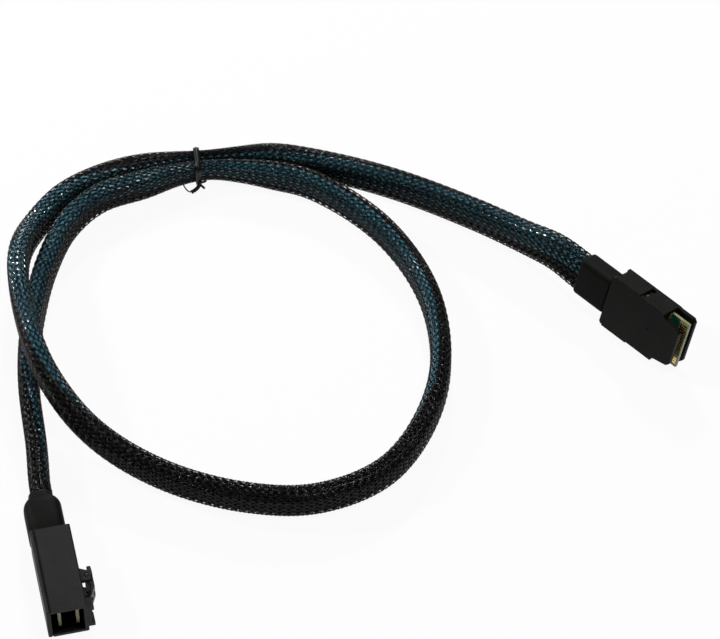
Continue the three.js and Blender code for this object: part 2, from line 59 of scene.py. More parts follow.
# Cable section and how it changes along the route, in millimetres
CABLE_THICKNESS = 6.4
CABLE_HEIGHT = 10.2
CABLE_CORNER = 2.4
OUTLINE_SAMPLES = 2000
SWELL_START = 0.82
SWELL_HEIGHT = 1.24
SWELL_THICKNESS = 0.97
PLUG_LEAN = math.radians(18)
LEAN_START = 0.93
SQUEEZE_CENTRE = (71.6, 144.2, 5)
SQUEEZE_REACH = 26
SQUEEZE_THICKNESS = 0.56
SQUEEZE_HEIGHT = 0.76

# Braid: bundles each way, filaments in a bundle, and their sizes in millimetres
BUNDLES = 16
FILAMENTS = 3
BRAID_PITCH = 40.0
STEPS_PER_CROSSING = 2
FILAMENT_RADIUS = 0.095
FILAMENT_SPACING = 0.19
FILAMENT_SIDES = 3
WEAVE_DEPTH = 0.13
BRAID_INSET = 0.22
BRAID_RUN_ON = 1.0
BRAID_OUTLINE_POINTS = 480
BRAID_PARTS = 2

# Ribbons and side wire in millimetres, with the number of wires in each ribbon
RIBBON_WIRES = (3, 3, 5, 5)
BLUE_RIBBONS = 2
WIRE_RADIUS = 0.65
WIRE_SLACK = 0.03
WIRE_SIDES = 8
WIRE_STEPS = 460
WIRE_OUTLINE_POINTS = 720

# The bundle lies twisted in its sleeve: pairs of a share of the route and the share of the
# section's edge, anticlockwise from its left side, at which the blue ribbons' middle lies there
TWIST = [(0.0, 0.58), (0.05, 0.45), (0.1, 0.24), (0.15, 0.22), (0.2, 0.36), (0.24, 0.4), (0.3, 0.4),
         (0.36, 0.42), (0.41, 0.47), (0.45, 0.6), (0.52, 0.68), (0.58, 0.6), (0.63, 0.4),
         (0.68, 0.28), (0.73, 0.3), (0.78, 0.52), (0.83, 0.5), (0.87, 0.42), (0.93, 0.38),
         (1.0, 0.32)]

# Twist tie in millimetres, in its own frame: x along the cable, -y towards the viewer. No strand
# runs along TIE_ACROSS, so it gives each of them two directions across.
TIE_AT = (68.5, 144.5)
TIE_TURN = math.radians(-6)
TIE_WIDTH = 1.8
TIE_THICKNESS = 0.35
TIE_RIB = 0.4
TIE_INNER_WIDTH = 9.5
TIE_INNER_HEIGHT = 8.5
TIE_CORNER = 2.2
TIE_MIDDLE = 4.9
TIE_OUTLINE_POINTS = 72
TIE_ACROSS = (0.0, 0.3, 1.0)
TIE_SIDES = 8
TIE_TAIL = [(0.1, -5.3, -1.9), (-0.2, -6.2, -2.3), (-1.1, -7.2, -2.6), (-2.6, -8.0, -2.8)]
TIE_TAIL_STEPS = 60
TIE_TWISTS = 3.0
TIE_STRAND_RADIUS = 0.34
TIE_LOOP = [(-2.4, -7.9, -2.8), (-3.4, -7.9, -2.6), (-4.4, -7.0, -2.0), (-5.2, -5.6, -1.0),
            (-5.6, -5.0, -0.2)]
TIE_LOOP_STEPS = 40
TIE_LOOP_RADIUS = TIE_STRAND_RADIUS * 0.6
TIE_STUBS = [[(0.3, -5.2, -1.6), (1.4, -5.6, -1.3), (2.2, -5.5, -0.8)],
             [(0.2, -5.8, -2.2), (1.0, -6.6, -2.4), (1.5, -6.9, -2.9)]]
TIE_STUB_STEPS = 12
TIE_STUB_RADIUS = TIE_STRAND_RADIUS * 1.1

# Contact cards in millimetres: middle of each stacked card, and the wide card in its plug's frame
HD_CARD_MIDDLES = (-2.1, 3.1)
HD_CARD_HALF = 0.45
HD_CARD_FRONT = -12.8
HD_MIDDLE = 6.3
HD_PADS = 9
HD_PAD_PITCH = 0.75
HD_MASK_TO = -1.0
HD_MASK_HEIGHTS = (2.25, 10.35)
MINI_CARD_FACES = (3.7, 4.7)
MINI_CARD_FRONT = 27.9
MINI_PADS = 18
MINI_PAD_PITCH = 0.8
MINI_MASK_FROM = 21.3
MINI_MASK_WIDTHS = (-8.1, 8.1)
PAD_SHARE = 0.62
PAD_LENGTH = 2.6
PAD_FROM_EDGE = 0.35
PAD_THICKNESS = 0.03
MASK_THICKNESS = 0.015

# Wide plug's frame: it starts where the boot and two fit gaps end, in millimetres
MINI_BOOT_LENGTH = 12.3
MINI_BOOT_MIDDLE = 3.9
FIT_GAP = 0.3

# Small round hole in the wide plug's near plate, in the plug's frame. A dark disc of painted shade
# stands for the shade inside it.
PLATE_HOLE_AT = (16.8, -0.4)
PLATE_HOLE_RADIUS = 0.4
PLATE_HOLE_THICKNESS = 0.02
PLATE_HOLE_SIDES = 20

# Stacked plug's boot in millimetres: middle, half sizes, rounded shoulders and the neck's collar.
# The shoulder's narrowing goes into the height by the share HD_BOOT_SHOULDER_DROP only, and
# HD_BOOT_FLATS says how far before the shoulder the plain sections lie.
HD_BOOT_MIDDLE = (-0.6, 6.3)
HD_BOOT_FROM = 14.5
HD_BOOT_TO = 27.2
HD_BOOT_HALF = (5.55, 5.4)
HD_BOOT_SHOULDER = 3.2
HD_BOOT_SHOULDER_STEPS = 16
HD_BOOT_SHOULDER_DROP = 0.25
HD_BOOT_FLATS = (4, 1)
HD_BOOT_EDGE = 0.4
HD_BOOT_EDGE_ROUND = 0.3
HD_NECK_HALF = (3.5, 5.25)
HD_NECK_TO = 28.6
HD_NECK_EDGE = 0.25
HD_NECK_EDGE_IN = (0.2, 0.15)
HD_BOOT_POWER = 3.6
HD_BOOT_SIDES = 72

# Finger ridges on the press latch in millimetres
RIDGES_AT = (0.05, -0.5, -1.05, -1.6)
RIDGE_WIDTH = 0.26
RIDGE_HEIGHT = 0.18
RIDGE_SLOPE = 0.04
RIDGE_HALF_LENGTH = 3.1
LEVER_TOP = 9.2

# Rounded edges of the frame's pieces, in millimetres, and how they are found
HOUSING_EDGE = 0.18
LATCH_EDGE = 0.15
SHELL_EDGE = 0.2
MINI_BOOT_EDGE = 0.9
CARD_EDGE = 0.06
STEEL_EDGE = 0.08
EDGE_SEGMENTS = 2
WELD_DISTANCE = 0.01
FLAT_ANGLE = math.radians(1)
SHARP_ANGLE = math.radians(30)

# Looks. base and roughness are the plain surface. A slow pattern of scale tone takes the colour
# from dark to light between the stops. A fine pattern of scale grain, or else the slow one, takes
# the roughness over the range rough and gives the relief its strength and depth in metres.
PLAIN_LOOK = {
    "metallic": 0.0, "coat": 0.0, "gloss": 0.5, "detail": 3.0, "stretch": None,
    "stops": (0.3, 0.7), "grain": None, "relief": None,
}
RIBBON_LOOK = {
    "roughness": 0.25, "rough": (0.13, 0.28), "tone": 60, "grain": 1500, "relief": (0.35, 0.00008),
}
LOOKS = {
    "braid_filament": {
        "base": (0.012, 0.012, 0.013), "dark": (0.002, 0.002, 0.0022),
        "light": (0.012, 0.0113, 0.0105), "roughness": 0.25, "rough": (0.16, 0.34), "gloss": 0.4,
        "tone": 900, "detail": 2.0, "stops": (0.3, 0.72),
    },
    "ribbon_blue": {
        **RIBBON_LOOK, "base": (0.065, 0.33, 0.43), "dark": (0.022, 0.17, 0.26),
        "light": (0.065, 0.33, 0.43), "coat": 1.0,
    },
    "ribbon_dark": {
        **RIBBON_LOOK, "base": (0.007, 0.008, 0.01), "dark": (0.003, 0.003, 0.004),
        "light": (0.007, 0.008, 0.01), "gloss": 0.3,
    },
    "solder_mask": {
        "base": (0.01, 0.12, 0.07), "dark": (0.006, 0.07, 0.045), "light": (0.02, 0.17, 0.1),
        "roughness": 0.25, "rough": (0.2, 0.35), "coat": 0.3, "tone": 700,
    },
    "card_laminate": {
        "base": (0.05, 0.16, 0.09), "dark": (0.21, 0.2, 0.075), "light": (0.33, 0.31, 0.14),
        "roughness": 0.4, "rough": (0.35, 0.55), "coat": 0.3, "tone": 400, "grain": 3000,
        "relief": (0.3, 0.00005),
    },
    "latch_steel": {
        "base": (0.62, 0.59, 0.54), "dark": (0.48, 0.45, 0.4), "light": (0.72, 0.69, 0.63),
        "metallic": 1.0, "roughness": 0.28, "rough": (0.2, 0.4), "tone": 60, "detail": 4.0,
        "stretch": (4, 30, 30), "relief": (0.2, 0.00003),
    },
    "contact_gold": {
        "base": (0.85, 0.6, 0.22), "dark": (0.7, 0.47, 0.16), "light": (0.92, 0.7, 0.32),
        "metallic": 1.0, "roughness": 0.25, "rough": (0.18, 0.34), "tone": 2500, "detail": 2.0,
    },
}
GRAIN_DETAIL = 2.0

# Moulded plastics: dark, light, roughness, grain, relief's depth in metres and gloss
PLASTICS = {
    "housing_plastic": ((0.006, 0.006, 0.006), (0.011, 0.011, 0.0115), 0.5, 5200, 0.00006, 0.16),
    "latch_plastic": ((0.005, 0.005, 0.005), (0.009, 0.009, 0.009), 0.42, 5200, 0.00004, 0.25),
    "shell_plastic": ((0.0035, 0.0035, 0.003), (0.006, 0.006, 0.0052), 0.5, 4200, 0.00005, 0.1),
    "boot_plastic": ((0.0025, 0.0025, 0.0022), (0.0045, 0.0045, 0.004), 0.6, 2600, 0.00008, 0.08),
    "block_resin": ((0.02, 0.019, 0.017), (0.035, 0.033, 0.03), 0.6, 2000, 0.0001, 0.3),
    "side_wire_insulation": (
        (0.004, 0.005, 0.006), (0.01, 0.012, 0.015), 0.35, 3000, 0.00003, 0.3),
    "tie_plastic": ((0.004, 0.004, 0.004), (0.009, 0.009, 0.009), 0.35, 3000, 0.00004, 0.3),
    # hole_shade is painted shade: the colour of the shade inside the plate's hole, put on a disc
    "hole_shade": ((0.001, 0.001, 0.001), (0.003, 0.003, 0.003), 0.8, 2600, 0.00002, 0.1),
}
PLASTIC_TONE = 180
PLASTIC_ROUGH_SPREAD = 0.08
PLASTIC_RELIEF = 0.5

# Stage in metres. Each light: its name, place, side and power in watts
FLOOR_SIZE = 6.0
FLOOR_HEIGHT = -0.0002
FLOOR_COLOUR = (0.8, 0.8, 0.8)
FLOOR_ROUGHNESS = 0.9
FLOOR_GLOW = 0.93
LIGHTS = [
    ("key", (0.3, 1.0, 0.6), 0.1, 8),
    ("back", (-0.6, 0.55, 0.6), 0.1, 6),
    ("top", (0.35, -0.1, 1.1), 0.2, 4),
]
LIGHT_TARGET = (0.08, 0.06, 0.0)
WORLD_STRENGTH = 0.07

# Faces of a box whose corners are listed with z changing first
BOX_FACES = [(0, 1, 3, 2), (4, 6, 7, 5), (0, 4, 5, 1), (2, 3, 7, 6), (0, 2, 6, 4), (1, 5, 7, 3)]

# Body that everything but the two latches rides on
BODY = "cable_and_plugs"

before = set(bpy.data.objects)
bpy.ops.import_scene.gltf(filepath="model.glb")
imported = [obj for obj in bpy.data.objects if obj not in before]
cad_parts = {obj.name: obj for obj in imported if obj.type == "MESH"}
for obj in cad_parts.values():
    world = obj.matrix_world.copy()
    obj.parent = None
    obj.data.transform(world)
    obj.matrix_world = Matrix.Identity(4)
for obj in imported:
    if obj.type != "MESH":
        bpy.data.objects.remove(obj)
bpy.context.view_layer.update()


# Helpers

def add_mesh(name, points, faces, material, smooth=True):
    mesh = bpy.data.meshes.new(name)
    mesh.from_pydata([tuple(p) for p in points], [], [tuple(f) for f in faces])
    mesh.validate()
    form = bmesh.new()
    form.from_mesh(mesh)
    bmesh.ops.recalc_face_normals(form, faces=form.faces)
    form.to_mesh(mesh)
    form.free()
    mesh.polygons.foreach_set("use_smooth", [smooth] * len(mesh.polygons))
    mesh.materials.append(material)
    piece = bpy.data.objects.new(name, mesh)
    bpy.context.scene.collection.objects.link(piece)
    return piece


def add_mesh_arrays(name, points, quads, material):
    mesh = bpy.data.meshes.new(name)
    mesh.vertices.add(len(points))
    mesh.vertices.foreach_set("co", np.asarray(points, dtype=np.float32).ravel())
    mesh.loops.add(quads.size)
    mesh.loops.foreach_set("vertex_index", quads.astype(np.int32).ravel())
    mesh.polygons.add(len(quads))
    mesh.polygons.foreach_set("loop_start", np.arange(0, quads.size, 4, dtype=np.int32))
    mesh.polygons.foreach_set("use_smooth", np.ones(len(quads), dtype=bool))
    mesh.update(calc_edges=True)
    mesh.materials.append(material)
    piece = bpy.data.objects.new(name, mesh)
    bpy.context.scene.collection.objects.link(piece)
    return piece


# Camera

def add_camera():
    look = Vector(CAMERA_LOOK).normalized()
    right = Vector(CAMERA_RIGHT).normalized()
    up = right.cross(look).normalized()
    turn = Matrix((right, up, -look)).transposed().to_4x4()
    data = bpy.data.cameras.new("camera")
    data.sensor_fit = "HORIZONTAL"
    data.sensor_width = SENSOR
    data.lens = LENS
    data.clip_start, data.clip_end = CLIP
    camera = bpy.data.objects.new("camera", data)
    camera.matrix_world = Matrix.Translation(CAMERA_AT) @ turn
    bpy.context.scene.collection.objects.link(camera)
    bpy.context.scene.camera = camera


# Route: a centripetal spline through the points, and the cable's section along it

def ease(share):
    return 0.5 - 0.5 * np.cos(np.pi * np.clip(share, 0, 1))


def spline_point(points, share):
    last = len(points) - 1
    place = last * share
    first = min(int(place), last - 1)
    t = place - first
    p1 = points[first]
    p2 = points[first + 1]
    p0 = points[first - 1] if first > 0 else 2 * p1 - p2
    p3 = points[first + 2] if first + 2 <= last else 2 * p2 - p1
    d0, d1, d2 = (max(float(np.dot(b - a, b - a)) ** SPLINE_POWER, SHORTEST_STEP)
                  for a, b in ((p0, p1), (p1, p2), (p2, p3)))
    m1 = ((p1 - p0) / d0 - (p2 - p0) / (d0 + d1) + (p2 - p1) / d1) * d1
    m2 = ((p2 - p1) / d1 - (p3 - p1) / (d1 + d2) + (p3 - p2) / d2) * d1
    return (p1 + m1 * t + (-3 * p1 + 3 * p2 - 2 * m1 - m2) * t ** 2
            + (2 * p1 - 2 * p2 + m1 + m2) * t ** 3)


class Route:
    """The route's point, directions and section sizes at any distance along it."""

    def __init__(self):
        points = np.array(ROUTE, dtype=float)
        share = np.linspace(0, 1, ROUTE_SAMPLES)
        line = np.array([spline_point(points, s) for s in share])
        self.at = np.r_[0, np.cumsum(np.linalg.norm(np.diff(line, axis=0), axis=1))]
        self.length = float(self.at[-1])
        self.line = line
        tangent = np.gradient(line, axis=0)
        self.tangent = tangent / np.linalg.norm(tangent, axis=1)[:, None]
        left = np.cross([0.0, 0.0, 1.0], self.tangent)
        left /= np.linalg.norm(left, axis=1)[:, None]
        lean = PLUG_LEAN * ease((share - LEAN_START) / (1 - LEAN_START))
        level_up = np.cross(self.tangent, left)
        self.left = left * np.cos(lean)[:, None] - level_up * np.sin(lean)[:, None]
        self.up = np.cross(self.tangent, self.left)
        away = np.linalg.norm(line - np.array(SQUEEZE_CENTRE), axis=1)
        squeeze = ease(1 - away / SQUEEZE_REACH)
        swell = ease((share - SWELL_START) / (1 - SWELL_START))
        self.thick = (1 - (1 - SQUEEZE_THICKNESS) * squeeze) * (1 + (SWELL_THICKNESS - 1) * swell)
        self.high = (1 - (1 - SQUEEZE_HEIGHT) * squeeze) * (1 + (SWELL_HEIGHT - 1) * swell)

    def sample(self, values, distance):
        inside = np.clip(distance, 0, self.length)
        if values.ndim == 1:
            return np.interp(inside, self.at, values)
        return np.stack([np.interp(inside, self.at, values[:, k]) for k in range(3)], axis=-1)

    def place(self, distance, across, upward):
        """Points at distances along the route, set off to the left and up by scaled amounts."""
        beyond = distance - np.clip(distance, 0, self.length)
        tangent = self.sample(self.tangent, distance)
        centre = self.sample(self.line, distance) + tangent * beyond[..., None]
        left = self.sample(self.left, distance)
        up = self.sample(self.up, distance)
        across = across * self.sample(self.thick, distance)
        upward = upward * self.sample(self.high, distance)
        return (centre + left * across[..., None] + up * upward[..., None]) * MM


def rounded_outline(width, height, corner, count):
    """Evenly spaced points around a rectangle with round corners, and their outward normals."""
    angle = np.linspace(0, 2 * np.pi, OUTLINE_SAMPLES, endpoint=False)
    x = np.sign(np.cos(angle)) * (width / 2 - corner) + corner * np.cos(angle)
    y = np.sign(np.sin(angle)) * (height / 2 - corner) + corner * np.sin(angle)
    x = np.r_[x, x[0]]
    y = np.r_[y, y[0]]
    along = np.r_[0, np.cumsum(np.hypot(np.diff(x), np.diff(y)))]
    even = np.linspace(0, along[-1], count + 1)
    points = np.stack([np.interp(even, along, x), np.interp(even, along, y)], axis=1)
    step = np.roll(points[:-1], -1, axis=0) - np.roll(points[:-1], 1, axis=0)
    step = np.r_[step, step[:1]]
    normal = np.stack([step[:, 1], -step[:, 0]], axis=1)
    normal /= np.linalg.norm(normal, axis=1)[:, None]
    return points, normal, float(along[-1])


def tube_quads(rings, sides):
    """Faces of an open tube whose points are listed ring by ring."""
    ring = np.arange(rings - 1)[:, None] * sides
    side = np.arange(sides)[None, :]
    following = (side + 1) % sides
    quads = np.stack([ring + side, ring + following, ring + sides + following,
                      ring + sides + side], axis=-1)
    return quads.reshape(-1, 4)


def end_faces(rings, sides):
    """The two faces that close a tube whose points are listed ring by ring."""
    return [list(range(sides))[::-1], [(rings - 1) * sides + k for k in range(sides)]]


def at_shares(values, shares):
    """An outline's pairs of values, at shares of the way around it."""
    index = shares * (len(values) - 1)
    knots = np.arange(len(values))
    return [np.interp(index, knots, values[:, k]) for k in range(2)]


# Braid

def filament_points(route, outline, hand, turn, aside):
    """One filament's rings: hand is its winding sense, turn its start, aside its place in the
    bundle."""
    points, normals, around = outline
    step = BRAID_PITCH / (2 * BUNDLES * STEPS_PER_CROSSING)
    count = int((route.length + 2 * BRAID_RUN_ON) / step) + 2
    distance = np.linspace(-BRAID_RUN_ON, route.length + BRAID_RUN_ON, count)
    slant = math.hypot(1, around / BRAID_PITCH)
    place = (turn + hand * distance / BRAID_PITCH + aside * slant / around) % 1.0
    outline_x, outline_y = at_shares(points, place)
    out_x, out_y = at_shares(normals, place)
    weave = hand * WEAVE_DEPTH * np.cos(2 * np.pi * BUNDLES * distance / BRAID_PITCH)
    weave = weave - BRAID_INSET
    side_x = -out_y
    side_y = out_x
    rings = []
    for side in range(FILAMENT_SIDES):
        angle = 2 * np.pi * side / FILAMENT_SIDES + np.pi / 2
        outward = weave + FILAMENT_RADIUS * math.sin(angle)
        sideways = -FILAMENT_RADIUS * math.cos(angle) * slant
        rings.append(route.place(
            distance,
            outline_x + out_x * outward + side_x * sideways,
            outline_y + out_y * outward + side_y * sideways))
    return np.stack(rings, axis=1).reshape(-1, 3), count


def braid_piece(route, outline, name, hand, bundles, material):
    all_points = []
    all_quads = []
    start = 0
    for bundle in bundles:
        turn = bundle / BUNDLES
        for filament in range(FILAMENTS):
            aside = (filament - (FILAMENTS - 1) / 2) * FILAMENT_SPACING
            points, rings = filament_points(route, outline, hand, turn, aside)
            all_points.append(points)
            all_quads.append(tube_quads(rings, FILAMENT_SIDES) + start)
            start += len(points)
    return add_mesh_arrays(
        name, np.concatenate(all_points), np.concatenate(all_quads), material)


def add_braid(route, material):
    outline = rounded_outline(CABLE_THICKNESS, CABLE_HEIGHT, CABLE_CORNER, BRAID_OUTLINE_POINTS)
    pieces = []
    for hand, word in ((1, "right"), (-1, "left")):
        for part in range(BRAID_PARTS):
            bundles = range(part, BUNDLES, BRAID_PARTS)
            name = "braid_%s_%d" % (word, part + 1)
            pieces.append(braid_piece(route, outline, name, hand, bundles, material))
    for piece in pieces:
        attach(piece, BODY)
        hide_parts("braided_sleeve")
    return pieces


# Ribbons and wires inside the braid

def bundle_outline():
    """Evenly spaced places for the wires' middles, just inside the braid."""
    inset = BRAID_INSET + WEAVE_DEPTH + WIRE_SLACK + WIRE_RADIUS
    points, _, _ = rounded_outline(CABLE_THICKNESS - 2 * inset, CABLE_HEIGHT - 2 * inset,
                                   CABLE_CORNER - inset / 2, WIRE_OUTLINE_POINTS)
    return points


def wire_distances(route):
    return np.linspace(-BRAID_RUN_ON, route.length + BRAID_RUN_ON, WIRE_STEPS)


def round_wire(route, middle_x, middle_y):
    """The rings of one insulated wire, whose middle lies at these places of the section."""
    distance = wire_distances(route)
    angle = np.linspace(0, 2 * np.pi, WIRE_SIDES, endpoint=False)
    rings = [route.place(distance, middle_x + WIRE_RADIUS * np.cos(a),
                         middle_y + WIRE_RADIUS * np.sin(a)) for a in angle]
    return np.stack(rings, axis=1).reshape(-1, 3)


def ribbon_wire(route, share, outline):
    """A wire that follows the bundle's twist around the section."""
    along = wire_distances(route) / route.length
    turn = np.interp(along, [t[0] for t in TWIST], [t[1] for t in TWIST])
    middle_x, middle_y = at_shares(outline, (turn + share) % 1.0)
    return round_wire(route, middle_x, middle_y)


def add_ribbons(route, blue, dark):
    """Four ribbons of round wires side by side: two blue ones next to each other, two dark ones."""
    outline = bundle_outline()
    quads = tube_quads(WIRE_STEPS, WIRE_SIDES)
    total = sum(RIBBON_WIRES)
    share = (0.5 - RIBBON_WIRES[0]) / total
    pieces = []
    for ribbon, wires in enumerate(RIBBON_WIRES):
        points = []
        faces = []
        for _ in range(wires):
            faces.append(quads + len(points) * WIRE_STEPS * WIRE_SIDES)
            points.append(ribbon_wire(route, share, outline))
            share += 1 / total
        node = "ribbon_%d" % (ribbon + 1)
        piece = add_mesh_arrays(node + "_wires", np.concatenate(points), np.concatenate(faces),
                                blue if ribbon < BLUE_RIBBONS else dark)
        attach(piece, BODY)
        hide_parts(node)
        pieces.append(piece)
    return pieces


def add_side_wires(route, material):
    """One wire along the bundle's middle."""
    middle = np.zeros(WIRE_STEPS)
    points = round_wire(route, middle, middle)
    quads = tube_quads(WIRE_STEPS, WIRE_SIDES)
    piece = add_mesh_arrays("side_wire", points, quads, material)
    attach(piece, BODY)
    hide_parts("sideband_wires")
    return [piece]


# Twist tie

def smooth_line(points, steps):
    knots = np.array(points, dtype=float)
    return np.array([spline_point(knots, share) for share in np.linspace(0, 1, steps)])


def across_line(line):
    """Two directions across a line at each of its points."""
    tangent = np.gradient(line, axis=0)
    tangent /= np.linalg.norm(tangent, axis=1)[:, None]
    side = np.cross(tangent, TIE_ACROSS)
    side /= np.linalg.norm(side, axis=1)[:, None]
    return side, np.cross(tangent, side)


def tube_along(line, radius):
    """A closed round tube along a line."""
    side, other = across_line(line)
    angle = np.linspace(0, 2 * np.pi, TIE_SIDES, endpoint=False)
    rings = (line[:, None, :] + radius * (np.cos(angle)[None, :, None] * side[:, None, :]
                                          + np.sin(angle)[None, :, None] * other[:, None, :]))
    faces = [list(quad) for quad in tube_quads(len(line), TIE_SIDES)]
    faces += end_faces(len(line), TIE_SIDES)
    return rings.reshape(-1, 3), faces


def tie_band():
    """A flat band around both runs, with the wire's rib along its middle."""
    path, normal, _ = rounded_outline(
        TIE_INNER_WIDTH, TIE_INNER_HEIGHT, TIE_CORNER, TIE_OUTLINE_POINTS)
    half = TIE_WIDTH / 2
    rib_top = TIE_THICKNESS + TIE_RIB / 2
    section = [(-half, 0), (-half, TIE_THICKNESS), (-TIE_RIB, TIE_THICKNESS),
               (-TIE_RIB / 2, rib_top), (TIE_RIB / 2, rib_top),
               (TIE_RIB, TIE_THICKNESS), (half, TIE_THICKNESS), (half, 0)]
    points = []
    for (y, z), (out_y, out_z) in zip(path[:-1], normal[:-1]):
        points += [(x, y + out_y * out, z + out_z * out) for x, out in section]
    sides = len(section)
    rings = len(path) - 1
    faces = []
    for ring in range(rings):
        following = (ring + 1) % rings
        for side in range(sides):
            after = (side + 1) % sides
            faces.append([ring * sides + side, ring * sides + after,
                          following * sides + after, following * sides + side])
    return np.array(points), faces


def twisted_strands():
    """The band's two ends, wound around each other along the tail's line."""
    line = smooth_line(TIE_TAIL, TIE_TAIL_STEPS)
    side, other = across_line(line)
    turn = 2 * np.pi * TIE_TWISTS * np.linspace(0, 1, TIE_TAIL_STEPS)
    strands = []
    for start in (0, np.pi):
        across = np.cos(turn + start)[:, None] * side + np.sin(turn + start)[:, None] * other
        strands.append(tube_along(line + TIE_STRAND_RADIUS * across, TIE_STRAND_RADIUS))
    return strands


def tie_place(point):
    """A point of the tie's own frame, in millimetres, in the row frame."""
    x, y, z = point
    return ((TIE_AT[0] + x * math.cos(TIE_TURN) - y * math.sin(TIE_TURN)) * MM,
            (TIE_AT[1] + x * math.sin(TIE_TURN) + y * math.cos(TIE_TURN)) * MM,
            (TIE_MIDDLE + z) * MM)


def add_tie(material):
    parts = [tie_band(), *twisted_strands()]
    parts.append(tube_along(smooth_line(TIE_LOOP, TIE_LOOP_STEPS), TIE_LOOP_RADIUS))
    for stub in TIE_STUBS:
        parts.append(tube_along(smooth_line(stub, TIE_STUB_STEPS), TIE_STUB_RADIUS))
    points = []
    faces = []
    for some_points, some_faces in parts:
        start = len(points)
        points += [tie_place(point) for point in some_points]
        faces += [[start + k for k in face] for face in some_faces]
    piece = add_mesh("tie_band_and_tail", points, faces, material)
    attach(piece, BODY)
    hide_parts("twist_tie")
    return [piece]


# Contact pads, solder mask and finger ridges

def in_metres(point):
    return tuple(value * MM for value in point)


def add_boxes(name, boxes, material, body, place=in_metres):
    """Boxes in one piece, each given by its two ends in x, y and z in millimetres."""
    points = []
    faces = []
    for x, y, z in boxes:
        start = len(points)
        points += [place((i, j, k)) for i in x for j in y for k in z]
        faces += [tuple(start + k for k in face) for face in BOX_FACES]
    piece = add_mesh(name, points, faces, material, smooth=False)
    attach(piece, body)
    return piece


def pad_centres(count, pitch):
    return [(index - (count - 1) / 2) * pitch for index in range(count)]


def add_hd_pads(gold, mask):
    pads = []
    masks = []
    front = HD_CARD_FRONT + PAD_FROM_EDGE
    half = HD_PAD_PITCH * PAD_SHARE / 2
    for middle in HD_CARD_MIDDLES:
        for side in (-1, 1):
            face = middle + side * HD_CARD_HALF
            for centre in pad_centres(HD_PADS, HD_PAD_PITCH):
                z = HD_MIDDLE + centre
                pads.append((sorted((face, face + side * PAD_THICKNESS)),
                             (front, front + PAD_LENGTH), (z - half, z + half)))
            masks.append((sorted((face, face + side * MASK_THICKNESS)),
                          (front + PAD_LENGTH + PAD_FROM_EDGE, HD_MASK_TO), HD_MASK_HEIGHTS))
    add_boxes("hd_contact_pads", pads, gold, BODY)
    add_boxes("hd_solder_mask", masks, mask, BODY)


def mini_place(route):
    """Gives a function that puts a point of the wide plug's frame in the row frame."""
    forward = route.tangent[-1]
    outward = route.left[-1]
    across = -route.up[-1]
    ahead = MINI_BOOT_LENGTH + 2 * FIT_GAP
    origin = route.line[-1] + forward * ahead - outward * MINI_BOOT_MIDDLE

    def place(corner):
        x, y, z = corner
        return tuple((origin + forward * x + across * y + outward * z) * MM)

    return place


def add_mini_pads(route, gold, mask):
    pads = []
    masks = []
    front = MINI_CARD_FRONT - PAD_FROM_EDGE
    half = MINI_PAD_PITCH * PAD_SHARE / 2
    for side, face in zip((-1, 1), MINI_CARD_FACES):
        for centre in pad_centres(MINI_PADS, MINI_PAD_PITCH):
            pads.append(((front - PAD_LENGTH, front), (centre - half, centre + half),
                         sorted((face, face + side * PAD_THICKNESS))))
        masks.append(((MINI_MASK_FROM, front - PAD_LENGTH - PAD_FROM_EDGE), MINI_MASK_WIDTHS,
                      sorted((face, face + side * MASK_THICKNESS))))
    place = mini_place(route)
    add_boxes("mini_contact_pads", pads, gold, BODY, place)
    add_boxes("mini_solder_mask", masks, mask, BODY, place)


def add_plate_hole(route, material):
    """The hole's dark inside is painted shade: a thin dark disc on the plate's outer face."""
    place = mini_place(route)
    count = PLATE_HOLE_SIDES
    points = []
    for level in (0.0, -PLATE_HOLE_THICKNESS):
        for k in range(count):
            angle = 2 * math.pi * k / count
            points.append(place((PLATE_HOLE_AT[0] + PLATE_HOLE_RADIUS * math.cos(angle),
                                 PLATE_HOLE_AT[1] + PLATE_HOLE_RADIUS * math.sin(angle), level)))
    faces = [list(range(count)), list(range(2 * count - 1, count - 1, -1))]
    faces += [[k, (k + 1) % count, count + (k + 1) % count, count + k] for k in range(count)]
    piece = add_mesh("mini_plate_hole_shade", points, faces, material, smooth=False)
    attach(piece, BODY)


def superellipse(half_x, half_z):
    """A soft-cornered section around the boot's middle."""
    angle = np.linspace(0, 2 * np.pi, HD_BOOT_SIDES, endpoint=False)
    power = 2 / HD_BOOT_POWER
    x = HD_BOOT_MIDDLE[0] + half_x * np.sign(np.cos(angle)) * np.abs(np.cos(angle)) ** power
    z = HD_BOOT_MIDDLE[1] + half_z * np.sign(np.sin(angle)) * np.abs(np.sin(angle)) ** power
    return x, z


def boot_stations():
    """The boot's sections along y, each with its half width and half height."""
    half_x, half_z = HD_BOOT_HALF
    neck_x, neck_z = HD_NECK_HALF
    round_in = HD_BOOT_EDGE * HD_BOOT_EDGE_ROUND
    stations = [(HD_BOOT_FROM, half_x - HD_BOOT_EDGE, half_z - HD_BOOT_EDGE),
                (HD_BOOT_FROM + round_in, half_x - round_in, half_z - round_in),
                (HD_BOOT_FROM + HD_BOOT_EDGE, half_x, half_z)]
    start = HD_BOOT_TO - HD_BOOT_SHOULDER
    stations += [(start - before, half_x, half_z) for before in HD_BOOT_FLATS]
    for step in range(HD_BOOT_SHOULDER_STEPS + 1):
        angle = math.pi / 2 * step / HD_BOOT_SHOULDER_STEPS
        narrow = HD_BOOT_SHOULDER * (1 - math.cos(angle))
        stations.append((start + HD_BOOT_SHOULDER * math.sin(angle),
                         max(half_x - narrow, neck_x),
                         max(half_z - narrow * HD_BOOT_SHOULDER_DROP, neck_z)))
    stations += [(HD_NECK_TO - HD_NECK_EDGE, neck_x, neck_z),
                 (HD_NECK_TO, neck_x - HD_NECK_EDGE_IN[0], neck_z - HD_NECK_EDGE_IN[1])]
    return stations


